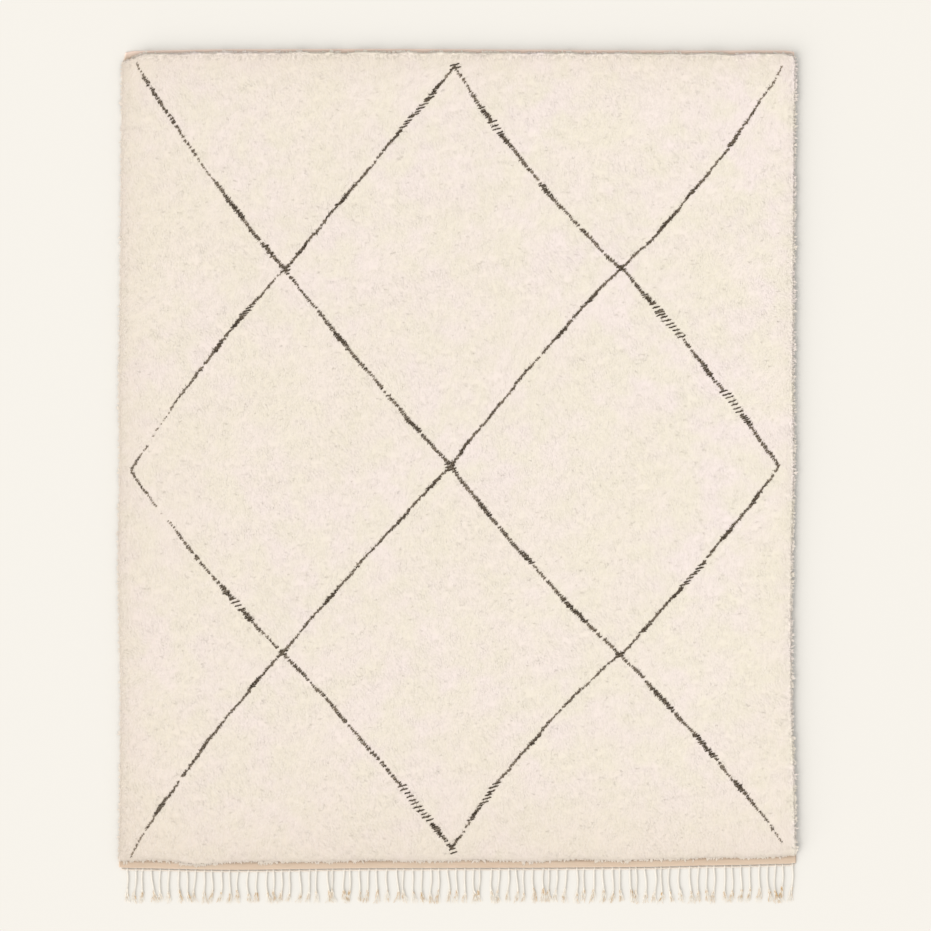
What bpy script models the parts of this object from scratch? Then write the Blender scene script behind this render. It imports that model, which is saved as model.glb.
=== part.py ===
"""A beni ourain rug: hand-knotted wool, lying flat, with a fringe at its foot end.

Metres, +Z up. The rug lies in the XY plane on its flat underside at z = 0, its head towards +Y and
its fringe towards -Y, and the origin is the middle of the whole, fringe included.
"""

import math
import random

import bmesh
import bpy

# Driving dimensions
RUG_LENGTH = 2.500  # the woven body, from the end of one band to the end of the other
RUG_WIDTH = 2.052  # the mean width between the selvedges
FRINGE_LENGTH = 0.105  # how far the warp ends reach past the foot band
GROUND_THICKNESS = 0.005  # the ground weave, which the two end bands show bare
PILE_TOP = 0.024  # from the underside to the top of the pile
PILE_SWELL = 0.0010  # how much the top of the pile rises and falls
PILE_SHOULDER = 0.022  # how far in from its edge the pile is rounded over
HEAD_BAND = 0.011  # length of the bare weave at the head
FOOT_BAND = 0.024  # and at the foot
PIECE_GAP = 0.0003  # the clearance between pieces that touch

STRAND_COUNT = 78
STRAND_WIDTH = 0.007
STRAND_THICKNESS = 0.004
STRAND_WANDER = 0.22  # how far a strand's root strays from an even pitch, as a share of the pitch
STRAND_SWAY = 0.0035  # how far a strand bends out of its line
STRAND_LEAN = 0.007  # how far its tip leans to one side
SHORTEST_STRAND = 0.965  # the shortest strand's length as a share of the longest
SPLAYED_WIDTH = 0.012  # across the widest loosened tip
SPLAY_START = 0.6  # the share of its length at which a strand begins to loosen
HEADING_DEPTH = 0.005  # the row of knots at the strands' roots
HEADING_LEFT_INSET = 0.018  # from the left selvedge to the end of that row
HEADING_RIGHT_INSET = 0.004  # and from the right one

# Places worked out from them
HEAD_Y = (RUG_LENGTH + FRINGE_LENGTH) / 2
FOOT_Y = HEAD_Y - RUG_LENGTH
HALF_WIDTH = RUG_WIDTH / 2

# The selvedges wander. along: share of the length, from the foot to the head. left and right: how far
# each selvedge lies outside its mean line there.
SELVEDGES = (
    # along, left, right
    (0.000, 0.012, 0.003),
    (0.080, 0.008, -0.002),
    (0.210, 0.006, -0.011),
    (0.310, 0.011, -0.012),
    (0.380, 0.013, -0.010),
    (0.490, 0.009, -0.004),
    (0.600, 0.011, -0.006),
    (0.700, 0.007, -0.005),
    (0.840, 0.004, -0.003),
    (0.920, 0.003, -0.002),
    (0.985, 0.002, 0.001),
    (1.000, -0.008, -0.003),
)

# So do the two ends. across: share of the width, from left to right. foot and head: how far each end
# lies towards the head from its own line there.
ENDS = (
    # across, foot, head
    (0.000, 0.006, -0.007),
    (0.015, 0.003, -0.001),
    (0.160, -0.002, 0.003),
    (0.400, 0.003, 0.004),
    (0.600, 0.004, 0.002),
    (0.750, 0.006, 0.000),
    (0.900, 0.012, -0.001),
    (0.985, 0.016, 0.000),
    (1.000, 0.019, -0.005),
)

# The pile's rounded shoulder is cut at these shares of its depth.
SHOULDER_SHARES = (0.0, 0.1, 0.35, 0.65, 1.0)
SPANS_ACROSS = 24  # spans between the two side shoulders
SPANS_ALONG = 32  # and between the two end shoulders
SWELLS_ACROSS = 5.0  # gentle rises of the pile across the rug
SWELLS_ALONG = 7.0  # and along it
STRAND_SPANS = 5  # straight spans down each side of a strand
STRAND_SEED = 11


def between(rows, column, share):
    """The value of a column at a share between 0 and 1, eased from row to row."""
    for low, high in zip(rows, rows[1:]):
        if share <= high[0]:
            step = (share - low[0]) / (high[0] - low[0])
            eased = step * step * (3 - 2 * step)
            return low[column] + (high[column] - low[column]) * eased
    return rows[-1][column]


def on_rug(across, along):
    """The place in the plane of a point given by its shares of the width and the length."""
    left = -HALF_WIDTH - between(SELVEDGES, 1, along)
    right = HALF_WIDTH + between(SELVEDGES, 2, along)
    foot = FOOT_Y + between(ENDS, 1, across)
    head = HEAD_Y + between(ENDS, 2, across)
    return left + (right - left) * across, foot + (head - foot) * along


def shoulder(inset):
    """The pile's rise from 0 to 1 at a distance in from the edge of the pile: a quarter round."""
    run = min(max(inset / PILE_SHOULDER, 0.0), 1.0)
    return math.sqrt(1 - (1 - run) ** 2)


def stations(size, low_band, high_band, spans):
    """The shares of a size at which the sheet is cut: bands, shoulders and even spans between them."""
    low = [low_band + PILE_SHOULDER * share for share in SHOULDER_SHARES]
    high = [size - high_band - PILE_SHOULDER * share for share in SHOULDER_SHARES]
    step = (high[-1] - low[-1]) / spans
    middle = [low[-1] + step * count for count in range(1, spans)]
    cuts = set(low + middle + high + [0.0, size])
    return [cut / size for cut in sorted(cuts)]


ACROSS_STATIONS = stations(RUG_WIDTH, 0.0, 0.0, SPANS_ACROSS)
ALONG_STATIONS = stations(RUG_LENGTH, FOOT_BAND, HEAD_BAND, SPANS_ALONG)


def pile_height(across, along):
    """The height of the rug's upper side: bare weave at the ends, rounded pile between them."""
    side = min(across, 1 - across) * RUG_WIDTH
    foot = along * RUG_LENGTH - FOOT_BAND
    head = (1 - along) * RUG_LENGTH - HEAD_BAND
    rise = shoulder(side) * shoulder(min(foot, head))
    wave = math.sin(math.tau * SWELLS_ACROSS * across) * math.sin(math.tau * SWELLS_ALONG * along)
    return GROUND_THICKNESS + (PILE_TOP - GROUND_THICKNESS + PILE_SWELL * wave) * rise


def wool(name, colour, roughness):
    """A plain woollen finish."""
    material = bpy.data.materials.new(name)
    material.use_nodes = True
    shader = material.node_tree.nodes["Principled BSDF"]
    shader.inputs["Base Color"].default_value = (*colour, 1.0)
    shader.inputs["Roughness"].default_value = roughness
    shader.inputs["Metallic"].default_value = 0.0
    material.diffuse_color = (*colour, 1.0)
    return material


def placed(name, data, material, collection, parent):
    """An object of this name in the rug's collection, under the rug's empty."""
    made = bpy.data.objects.new(name, data)
    data.materials.append(material)
    collection.objects.link(made)
    made.parent = parent
    return made


def rug_mesh():
    """The woven body as one solid: a flat sheet, its upper side drawn up into pile."""
    mesh = bpy.data.meshes.new("rug")
    body = bmesh.new()
    spans_across = len(ACROSS_STATIONS) - 1
    spans_along = len(ALONG_STATIONS) - 1
    bmesh.ops.create_grid(body, x_segments=spans_across, y_segments=spans_along, size=0.5)
    underside = list(body.faces)
    shares = {}
    for corner in body.verts:
        across = ACROSS_STATIONS[round((corner.co.x + 0.5) * spans_across)]
        along = ALONG_STATIONS[round((corner.co.y + 0.5) * spans_along)]
        x, y = on_rug(across, along)
        corner.co = (x, y, 0.0)
        shares[(corner.co.x, corner.co.y)] = (across, along)
    drawn_up = bmesh.ops.extrude_face_region(body, geom=underside)["geom"]
    for corner in drawn_up:
        if isinstance(corner, bmesh.types.BMVert):
            corner.co.z = pile_height(*shares[(corner.co.x, corner.co.y)])
    flat = [face for face in body.faces if all(corner.co.z == 0.0 for corner in face.verts)]
    bmesh.ops.dissolve_faces(body, faces=flat)
    bmesh.ops.recalc_face_normals(body, faces=body.faces)
    body.to_mesh(mesh)
    body.free()
    return mesh


def strand_outline(root, drift, bend, reach, looseness):
    """One strand from its left root round its tip to its right root."""
    left_side = []
    right_side = []
    for count in range(STRAND_SPANS + 1):
        run = count / STRAND_SPANS
        centre = root[0] + drift * run ** 2 + bend * math.sin(math.pi * run)
        splay = max(0.0, run - SPLAY_START) / (1 - SPLAY_START)
        width = STRAND_WIDTH + (SPLAYED_WIDTH - STRAND_WIDTH) * splay * looseness
        y = root[1] - reach * run
        left_side.append((centre - width / 2, y))
        right_side.append((centre + width / 2, y))
    return left_side + right_side[::-1]


def comb_points():
    """The outline of the whole fringe: the row of knots with every strand hanging from it."""
    draw = random.Random(STRAND_SEED)
    start = HEADING_LEFT_INSET / RUG_WIDTH
    end = 1 - HEADING_RIGHT_INSET / RUG_WIDTH
    heading = [start] + [share for share in ACROSS_STATIONS if start < share < end] + [end]
    points = []
    for share in reversed(heading):
        x, y = on_rug(share, 0.0)
        points.append((x, y - PIECE_GAP))
    first = start + STRAND_WIDTH / RUG_WIDTH
    last = end - STRAND_WIDTH / RUG_WIDTH
    pitch = (last - first) / (STRAND_COUNT - 1)
    for count in range(STRAND_COUNT):
        share = first + pitch * (count + draw.uniform(-STRAND_WANDER, STRAND_WANDER))
        x, y = on_rug(min(max(share, first), last), 0.0)
        root = (x, y - PIECE_GAP - HEADING_DEPTH)
        drift = draw.uniform(-STRAND_LEAN, STRAND_LEAN)
        bend = draw.uniform(-STRAND_SWAY, STRAND_SWAY)
        reach = (root[1] + HEAD_Y) * draw.uniform(SHORTEST_STRAND, 1.0)
        points += strand_outline(root, drift, bend, reach, draw.random())
    return points


def fringe_curve():
    """The fringe as a flat comb cut to that outline."""
    curve = bpy.data.curves.new("fringe", "CURVE")
    curve.dimensions = "2D"
    curve.fill_mode = "BOTH"
    curve.extrude = STRAND_THICKNESS / 2
    points = comb_points()
    spline = curve.splines.new("POLY")
    spline.points.add(len(points) - 1)
    for point, (x, y) in zip(spline.points, points):
        point.co = (x, y, 0.0, 1.0)
    spline.use_cyclic_u = True
    return curve


def main():
    for old in list(bpy.data.objects):
        bpy.data.objects.remove(old)
    collection = bpy.data.collections.new("beni_ourain_rug")
    bpy.context.scene.collection.children.link(collection)
    middle = bpy.data.objects.new("rug_middle", None)
    collection.objects.link(middle)

    ivory_wool = wool("ivory_wool", (0.86, 0.78, 0.68), 0.95)
    warp_yarn = wool("warp_yarn", (0.88, 0.82, 0.72), 0.9)

    rug = placed("rug", rug_mesh(), ivory_wool, collection, middle)
    rug.data.shade_smooth()
    rug.data.set_sharp_from_angle(angle=math.radians(40))
    fringe = placed("fringe", fringe_curve(), warp_yarn, collection, middle)
    fringe.location.z = STRAND_THICKNESS / 2


main()
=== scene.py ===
# %% [markdown]
# # An ivory pile rug with a dark diamond lattice
# A rug of this kind is made on an upright loom. The weaver strings the warp, weaves a few centimetres of
# plain cloth for the end band, and then ties one row of thick wool knots after another, with plain weft
# beaten down between the rows. The lattice isn't printed: it is tied in dark wool, a knot here and a knot
# there in each row. At the foot the warp ends are left hanging as a fringe.
#
# This lesson builds the same things in the same order: the woven ground, the mass of the pile, the single
# locks of wool, the dark knots and the fringe. It begins with the frame, which fixes the rug's size.

# %% Load the frame
import math
import random

import bmesh
import bpy
import numpy as np
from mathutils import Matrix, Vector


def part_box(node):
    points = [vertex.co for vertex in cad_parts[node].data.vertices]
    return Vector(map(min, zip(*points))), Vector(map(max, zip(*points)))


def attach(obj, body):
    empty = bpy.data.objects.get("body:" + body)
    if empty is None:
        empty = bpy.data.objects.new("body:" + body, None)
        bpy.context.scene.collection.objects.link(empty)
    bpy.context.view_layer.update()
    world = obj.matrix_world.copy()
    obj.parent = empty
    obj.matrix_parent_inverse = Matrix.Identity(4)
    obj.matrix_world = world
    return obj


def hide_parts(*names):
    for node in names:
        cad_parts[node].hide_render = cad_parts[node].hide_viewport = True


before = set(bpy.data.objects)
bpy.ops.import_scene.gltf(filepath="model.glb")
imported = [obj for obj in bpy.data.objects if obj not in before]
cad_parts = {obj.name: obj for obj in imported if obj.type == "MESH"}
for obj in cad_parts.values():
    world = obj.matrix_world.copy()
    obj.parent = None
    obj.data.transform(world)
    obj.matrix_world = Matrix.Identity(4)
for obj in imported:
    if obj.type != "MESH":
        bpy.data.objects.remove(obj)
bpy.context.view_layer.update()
ROUND = math.tau

# %% [markdown]
# ## Where the rug's edges run
# No edge of a handmade rug is straight. The frame's solid already has the true outline, so its underside,
# whose corners all lie on the rim, gives the four edges. Each is kept as a line to be read at any place
# along it, and a point of the rug is then given by two shares, across the width and along the length.

# %% The four edges
WEAVE_TOP = 0.005  # the height of the bare weave, as in the frame
FOOT_BAND = 0.024  # how long the bare weave is at the foot
HEAD_BAND = 0.011  # and at the head
EDGE_ZONE = 0.008  # near a corner, points of the end edges would be mistaken for points of the selvedge

rug_low, rug_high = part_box("rug")
PILE_TOP = rug_high.z - 0.001
RUG_WIDTH = rug_high.x - rug_low.x
RUG_LENGTH = rug_high.y - rug_low.y

points = np.array([v.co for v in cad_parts["rug"].data.vertices])
rim = np.unique(points[points[:, 2] < 0.001][:, :2].round(5), axis=0)
corner_at = {
    (side, end): rim[np.argmax(side * rim[:, 0] + end * rim[:, 1])] for side in (-1, 1) for end in (-1, 1)
}


def edge_line(axis, side):
    """One edge of the rim as two arrays: places along it, and how far out it lies at each."""
    across = 1 - axis
    ends = np.array([corner for name, corner in corner_at.items() if name[across] == side])
    ends = ends[np.argsort(ends[:, axis])]
    place = rim[:, axis]
    between = (place > ends[0, axis] + EDGE_ZONE) & (place < ends[1, axis] - EDGE_ZONE)
    chord = np.interp(place, ends[:, axis], ends[:, across])
    near = np.abs(rim[:, across] - chord) < 3 * EDGE_ZONE
    line = np.vstack([rim[near & between], ends])
    line = line[np.argsort(line[:, axis])]
    return line[:, axis], line[:, across]


LEFT, RIGHT, FOOT, HEAD = edge_line(1, -1), edge_line(1, 1), edge_line(0, -1), edge_line(0, 1)
foot_mean, head_mean = FOOT[1].mean(), HEAD[1].mean()


def on_rug(across, along):
    """The place on the floor of points given by their shares of the width and the length."""
    y = foot_mean + (head_mean - foot_mean) * along
    for _ in range(2):
        left, right = np.interp(y, *LEFT), np.interp(y, *RIGHT)
        x = left + (right - left) * across
        foot, head = np.interp(x, *FOOT), np.interp(x, *HEAD)
        y = foot + (head - foot) * along
    return x, y


print("edges read:", [len(line[0]) for line in (LEFT, RIGHT, FOOT, HEAD)])

# %% [markdown]
# ## The camera, the light and the floor
# The rug is shown from straight above. A long lens far away keeps its sides parallel. The light is that of
# a pale studio: a wide soft lamp low on the left, a little towards the foot, which makes the short soft
# shadow along the right and the head edges, and an even sky for the rest.

# %% Set the stage
CAMERA_HEIGHT = 30.0
PICTURE_WIDTH = 2.84  # how much of the floor the picture takes in
SENSOR = 36.0
PICTURE_MIDDLE = (0.020, 0.035)
FAR_LIMIT = 200.0
FLOOR_HALF = 60.0
FLOOR_DROP = 0.0002  # so that the floor and the rug's back don't share one plane
FLOOR_COLOUR = (0.785, 0.764, 0.724)
LAMP_STRENGTH = 2.60
LAMP_SPREAD = 60.0  # degrees across: the wider, the softer the shadow
LAMP_HEIGHT = 23.0  # degrees above the floor
LAMP_BEARING = 226.0  # degrees, counted from the right round towards the head
SKY_STRENGTH = 0.866
BACKDROP = (0.93, 0.896, 0.831)
LAMP_COLOUR = (1.0, 0.985, 0.96)
SKY_COLOUR = (1.0, 0.99, 0.97)


def placed(name, data):
    """A new object in the scene."""
    made = bpy.data.objects.new(name, data)
    bpy.context.scene.collection.objects.link(made)
    return made


camera_data = bpy.data.cameras.new("camera")
camera_data.sensor_width = SENSOR
camera_data.lens = SENSOR * (CAMERA_HEIGHT - PILE_TOP) / PICTURE_WIDTH
camera_data.clip_end = FAR_LIMIT
camera = placed("camera", camera_data)
camera.location = (*PICTURE_MIDDLE, CAMERA_HEIGHT)
bpy.context.scene.camera = camera

lamp_data = bpy.data.lights.new("lamp", "SUN")
lamp_data.energy = LAMP_STRENGTH
lamp_data.angle = math.radians(LAMP_SPREAD)
lamp_data.color = LAMP_COLOUR
lamp = placed("lamp", lamp_data)
lamp.rotation_euler = (0.0, math.radians(90 - LAMP_HEIGHT), math.radians(LAMP_BEARING))

world = bpy.data.worlds.new("studio")
bpy.context.scene.world = world
world.use_nodes = True
nodes, links = world.node_tree.nodes, world.node_tree.links
sky = nodes["Background"]
sky.inputs["Color"].default_value = (*SKY_COLOUR, 1.0)
sky.inputs["Strength"].default_value = SKY_STRENGTH
backdrop = nodes.new("ShaderNodeBackground")
backdrop.inputs["Color"].default_value = (*BACKDROP, 1.0)
seen = nodes.new("ShaderNodeLightPath")
either = nodes.new("ShaderNodeMixShader")
for source, socket in ((seen.outputs["Is Camera Ray"], 0), (sky.outputs[0], 1), (backdrop.outputs[0], 2)):
    links.new(source, either.inputs[socket])
links.new(either.outputs[0], nodes["World Output"].inputs[0])
bpy.context.scene.view_settings.view_transform = "Standard"

# %% [markdown]
# ## Finishes as Python expressions
# A woollen finish is a sum of small things: a base colour, clouds of a slightly different dye, a darker
# root, a fine fibre grain. Written as node links that would be hard to read, so one small class wraps a
# node's output, and + - * / on it add the Math nodes.

# %% The wrapper and the finish
FIBRE_IOR_LEVEL = 0.25


class Signal:
    """An output socket in a finish; arithmetic on it adds Math nodes."""

    def __init__(self, finish, socket):
        self.finish = finish
        self.socket = socket

    def math(self, operation, *values):
        inputs = dict(enumerate((self, *values)))
        return self.finish.node("ShaderNodeMath", {"operation": operation}, inputs)

    def __add__(self, other):
        return self.math("ADD", other)

    def __sub__(self, other):
        return self.math("SUBTRACT", other)

    def __rsub__(self, other):
        return self * -1 + other

    def __mul__(self, other):
        return self.math("MULTIPLY", other)

    def __truediv__(self, other):
        return self.math("DIVIDE", other)

    __radd__ = __add__
    __rmul__ = __mul__

    def wave(self):
        return self.math("SINE")

    def held(self):
        """The same value, kept between 0 and 1."""
        return self.finish.node("ShaderNodeClamp", {}, {0: self})


class Finish:
    """A Principled material whose changing parts are fed by signals."""

    def __init__(self, name, roughness, sheen):
        self.material = bpy.data.materials.new(name)
        self.material.use_nodes = True
        self.tree = self.material.node_tree
        self.shader = self.tree.nodes["Principled BSDF"]
        looks = {"Roughness": roughness, "Sheen Weight": sheen, "Sheen Roughness": 0.6}
        looks["Specular IOR Level"] = FIBRE_IOR_LEVEL
        for look, value in looks.items():
            self.shader.inputs[look].default_value = value
        self.place = self.node("ShaderNodeTexCoord", {}, {}, "Object")

    def node(self, kind, settings, values, output=0):
        """A new node with its settings made first, then its sockets fed; returns one output."""
        made = self.tree.nodes.new(kind)
        for name, setting in settings.items():
            setattr(made, name, setting)
        for name, value in values.items():
            self.feed(made.inputs[name], value)
        return Signal(self, made.outputs[output])

    def feed(self, socket, value):
        if isinstance(value, Signal):
            self.tree.links.new(value.socket, socket)
        else:
            socket.default_value = value

    def clouds(self, size, detail=2.0, stretch=(1.0, 1.0, 1.0)):
        """Soft random patches about this many metres across, from 0 to 1."""
        spot = self.node("ShaderNodeMapping", {}, {"Vector": self.place, "Scale": stretch})
        values = {"Vector": spot, "Scale": 1 / size, "Detail": detail, "Roughness": 0.5}
        return self.node("ShaderNodeTexNoise", {}, values)

    def kept(self, name):
        """A value that was stored on the piece under this name."""
        return self.node("ShaderNodeAttribute", {"attribute_name": name}, {}, "Fac")

    def dyed(self, share, one, other):
        """A colour between two, each a plain colour or a signal."""
        first, second = (c if isinstance(c, Signal) else (*c, 1.0) for c in (one, other))
        mix = {"data_type": "RGBA", "clamp_factor": True}
        return self.node("ShaderNodeMix", mix, {0: share, 6: first, 7: second}, 2)

    def bumped(self, height, depth, strength):
        values = {"Height": height, "Distance": depth, "Strength": strength}
        return self.node("ShaderNodeBump", {}, values)

    def wear(self, colour=None, normal=None):
        for name, value in (("Base Color", colour), ("Normal", normal)):
            if value is not None:
                self.feed(self.shader.inputs[name], value)
        return self.material


# %% The floor
floor_finish = Finish("pale_floor", 1.0, 0.0)
floor_finish.shader.inputs["Specular IOR Level"].default_value = 0.0
floor_finish.wear((*FLOOR_COLOUR, 1.0))
floor_form = bmesh.new()
bmesh.ops.create_grid(floor_form, x_segments=1, y_segments=1, size=FLOOR_HALF)
floor_mesh = bpy.data.meshes.new("floor")
floor_form.to_mesh(floor_mesh)
floor_form.free()
floor_mesh.materials.append(floor_finish.material)
floor = placed("floor", floor_mesh)
floor.location.z = -FLOOR_DROP
print("stage set: lens", round(camera_data.lens, 1), "mm")

# %% [markdown]
# ## The woven ground
# Under the pile lies a plain weave of wool weft over cotton warp, and it shows bare in three places: the
# band at the foot, the narrow one at the head, and the selvedges, where the weft turns round the outermost
# warps. It is one closed sheet: a flat grid, whose upper side is drawn up to the height of the weave. Only
# the bands need fine steps, so the grid is cut close there and wide under the pile. The foot band is a
# little plump, because its last picks are beaten in hard.

# %% Sheets that are closed all round
def piece(name, mesh, material):
    """Links a finished mesh as a piece of the rug that rides on its one body."""
    mesh.materials.append(material)
    made = placed(name, mesh)
    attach(made, "root")
    mesh.calc_loop_triangles()
    print(name, "has", len(mesh.loop_triangles), "triangles")
    return made


def drawn_sheet(name, across, along, height, base):
    """A closed sheet over these shares: a grid at the base height, its upper side drawn up from it."""
    form = bmesh.new()
    spans = len(across) - 1, len(along) - 1
    bmesh.ops.create_grid(form, x_segments=spans[0], y_segments=spans[1], size=0.5)
    under = list(form.faces)
    upper = bmesh.ops.extrude_face_region(form, geom=under)["geom"]
    bmesh.ops.translate(form, vec=(0, 0, 1), verts=[v for v in upper if isinstance(v, bmesh.types.BMVert)])
    bmesh.ops.reverse_faces(form, faces=under)
    bmesh.ops.dissolve_faces(form, faces=under)
    mesh = bpy.data.meshes.new(name)
    form.to_mesh(mesh)
    form.free()
    flat = np.empty(len(mesh.vertices) * 3)
    mesh.vertices.foreach_get("co", flat)
    flat = flat.reshape(-1, 3)
    u = across[np.rint((flat[:, 0] + 0.5) * spans[0]).astype(int)]
    v = along[np.rint((flat[:, 1] + 0.5) * spans[1]).astype(int)]
    x, y = on_rug(u, v)
    z = np.where(flat[:, 2] > 0.5, height(u, v), base)
    mesh.vertices.foreach_set("co", np.stack([x, y, z], axis=1).ravel())
    mesh.shade_smooth()
    mesh.set_sharp_from_angle(angle=math.radians(50))
    return mesh, u, v


def stored(mesh, name, values):
    """Keeps one number for each corner of a mesh, for its finish to read."""
    kept = mesh.attributes.new(name, "FLOAT", "POINT")
    kept.data.foreach_set("value", np.asarray(values, dtype=np.float32))


# %% Weave it
WARP_STEP = 0.009  # between two cuts across the rug
BAND_CUT = 0.0010  # between two cuts in a band
PICK_PITCH = 0.0034  # from one pick of the bands' thick weft to the next
PICK_RELIEF = 0.0002
WARP_PITCH = 0.0090  # from one warp to the next but one
BAND_SWELL = 0.0012  # how plump the foot band is
SELVEDGE = 0.007  # how wide the turned edge is
SELVEDGE_CUT = 0.0012
SELVEDGE_SWELL = 0.0008
EDGE_ROUND = 0.0035  # how far in the weave's rounded edge reaches
EDGE_LOW = 0.0018  # how high the weave's upper side starts at its very edge
UNDER_SPANS = 40  # cuts along the rug under the pile
FINE_FOOT = FOOT_BAND + 0.006
FINE_HEAD = HEAD_BAND + 0.004


def shares(size, *stretches):
    """Shares of a size: each stretch is (start, end, step) in metres."""
    cuts = [np.linspace(a, b, max(1, round((b - a) / step)), endpoint=False) for a, b, step in stretches]
    return np.append(np.concatenate(cuts), stretches[-1][1]) / size


weave_across = shares(RUG_WIDTH, (0, SELVEDGE, SELVEDGE_CUT), (SELVEDGE, RUG_WIDTH - SELVEDGE, WARP_STEP),
                      (RUG_WIDTH - SELVEDGE, RUG_WIDTH, SELVEDGE_CUT))
weave_along = shares(RUG_LENGTH, (0, FINE_FOOT, BAND_CUT),
                     (FINE_FOOT, RUG_LENGTH - FINE_HEAD, RUG_LENGTH / UNDER_SPANS),
                     (RUG_LENGTH - FINE_HEAD, RUG_LENGTH, BAND_CUT))


def weave_height(across, along):
    """The top of the weave: picks in the bands, a plump foot band, rounded selvedges and ends."""
    foot = along * RUG_LENGTH
    head = (1 - along) * RUG_LENGTH
    side = np.minimum(across, 1 - across) * RUG_WIDTH
    plump = BAND_SWELL * np.sin(np.clip(foot / FOOT_BAND, 0, 1) * math.pi) ** 0.7
    end = np.minimum(foot, head)
    rounded = np.sqrt(1 - (1 - np.clip(np.minimum(end, side) / EDGE_ROUND, 0, 1)) ** 2)
    picks = PICK_RELIEF * np.sin(ROUND * end / PICK_PITCH + 0.6 * np.sin(across * 90)) * (end < 0.03)
    cord = SELVEDGE_SWELL * np.sin(np.clip(side / SELVEDGE, 0, 1) * math.pi)
    return EDGE_LOW + (WEAVE_TOP - 0.0024 + plump + cord + picks) * rounded


weave_mesh, _, weave_v = drawn_sheet("ground_weave", weave_across, weave_along, weave_height, 0.0)
stored(weave_mesh, "foot_run", weave_v * RUG_LENGTH)
stored(weave_mesh, "head_run", (1 - weave_v) * RUG_LENGTH)

# %% [markdown]
# Its finish is a tan undyed wool with peach and pinkish stretches, because each pick is spun from another
# handful. Picks show as fine lines across the rug and warps as a faint beat along them. Both are bump. The
# foot band carries painted shadow in broken dashes where the pile hangs over it, and painted shade at its
# rounded edge by the twined row. The head band is a pale pink, painted lighter than its own colour against
# the shade of the pile beside it.

# %% The weave's finish
weave = Finish("tan_weave", 0.9, 0.15)
foot_run = weave.kept("foot_run")
stretches = weave.clouds(0.22, 2.0, (1.0, 3.0, 1.0))
streaks = weave.clouds(0.05, 3.0, (1.0, 14.0, 1.0))
tan = weave.dyed(stretches * 1.8 - 0.4, (0.590, 0.450, 0.335), (0.62, 0.50, 0.385))
peach = weave.dyed((streaks * 3.0 - 1.3).held() * 0.6, tan, (0.72, 0.54, 0.42))
# the head band's own pink, painted lighter against the shade of the pile beside it
at_head = (1 - weave.kept("head_run") / 0.02).held()
head_band_painted_lighter = weave.dyed(at_head * 0.95, peach, (0.93, 0.73, 0.63))
at_foot_edge = (1 - foot_run / EDGE_ROUND).held()
# painted shadow, in broken dashes, where the pile hangs over the foot band
under_pile = (1 - ((foot_run - 0.021) / 0.005).math("ABSOLUTE")).held()
pile_shadowed = weave.dyed(under_pile * (streaks * 2.5 - 0.7).held() * 0.85, head_band_painted_lighter, (0.38, 0.27, 0.19))
# painted shade along the foot band's rounded edge by the twined row
shaded = weave.dyed(at_foot_edge * 0.4, pile_shadowed, (0.58, 0.50, 0.44))
picks = foot_run / PICK_PITCH
warp_place = weave.node("ShaderNodeSeparateXYZ", {}, {"Vector": weave.place}, "X")
beat = (warp_place * (ROUND / WARP_PITCH) + picks.math("FLOOR") * math.pi).wave()
weft_line = (picks * ROUND).wave() * 0.4 + beat * 0.4
fibre = weave.clouds(0.0016, 2.0, (1.0, 0.35, 1.0))
weave_normal = weave.bumped(weft_line * 0.6 + fibre * 0.6, 0.0005, 0.7)
weave.wear(shaded, weave_normal)
ground = piece("ground_weave", weave_mesh, weave.material)
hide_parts("rug")

# %% [markdown]
# ## The mass of the pile
# Knots stand so close that the pile has a solid heart, and only the last few millimetres of each lock show
# singly. That heart is one more closed sheet, lower than the locks' tips. Its shoulders are round at the foot
# and the left, where the pile leans over, and steep at the head and the right.
#
# Light also passes through thick wool. A plain surface can't do that, so the sheet carries its own shading
# directions: nearly straight up, and on the shoulders drawn a little to the lamp.

# %% Raise the pile's heart
PILE_SHOULDER = 0.022  # how far in from an edge the pile has its full height
HEART_SHARE = 0.88  # of the pile's height
HEART_STEP = 0.016  # between two cuts on the flat
SHOULDER_CUT = 0.0015  # between two cuts on the steep shoulders
SIDE_INSET = 0.0005
FAR_STEEP = 3.6  # the pile leans to the foot and the left, so its other two sides stand up steeply
HEART_REACH = 0.004  # how far the heart's thin edges run on under the bands' picks
HEART_BASE = WEAVE_TOP - 0.0014
GLOW_REACH = 0.014  # how far in from the head and the right the shading is drawn to the lamp
EDGE_REACH = 0.004  # over this it fades out from the left edge, and fades in from the others
GLOW = 0.35
ROW_PITCH = 0.0102  # from one row of knots to the next


def drift(x, y, size, seed):
    """A smooth random field from about -1 to 1 whose patches are this many metres across."""
    draw = np.random.default_rng(seed)
    total = np.zeros(np.broadcast(x, y).shape)
    for _ in range(9):
        turn, phase, stretch = draw.uniform(0, ROUND), draw.uniform(0, ROUND), draw.uniform(0.7, 1.6)
        run = (x * math.cos(turn) + y * math.sin(turn)) * ROUND * stretch / (2 * size)
        total += np.sin(run + phase)
    return total / 3.2


def foot_band_at(across):
    """How much of the foot band is bare: the pile hangs over it unevenly."""
    x = across * RUG_WIDTH
    dip = np.exp(-((across - 0.115) / 0.022) ** 2)
    return FOOT_BAND - 0.002 * drift(x, 0.0, 0.15, 3) - 0.009 * dip


def head_band_at(across):
    """How much of the head band is bare: a little, and more at the corners, where the pile draws back."""
    corner = np.exp(-(across / 0.018) ** 2) + 0.3 * np.exp(-((1 - across) / 0.010) ** 2)
    return HEAD_BAND - 0.0015 - 0.0020 * drift(across * RUG_WIDTH, 0.0, 0.06, 4) + 0.013 * corner


def pile_height(side, end):
    """The height of the pile's top at these distances in from its side and end edges."""
    rise = 1.0
    for inset in (side, end):
        run = np.clip(inset / PILE_SHOULDER, 0, 1)
        rise = rise * np.sqrt(1 - (1 - run) ** 2)
    return WEAVE_TOP + (PILE_TOP - WEAVE_TOP) * rise


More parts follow.
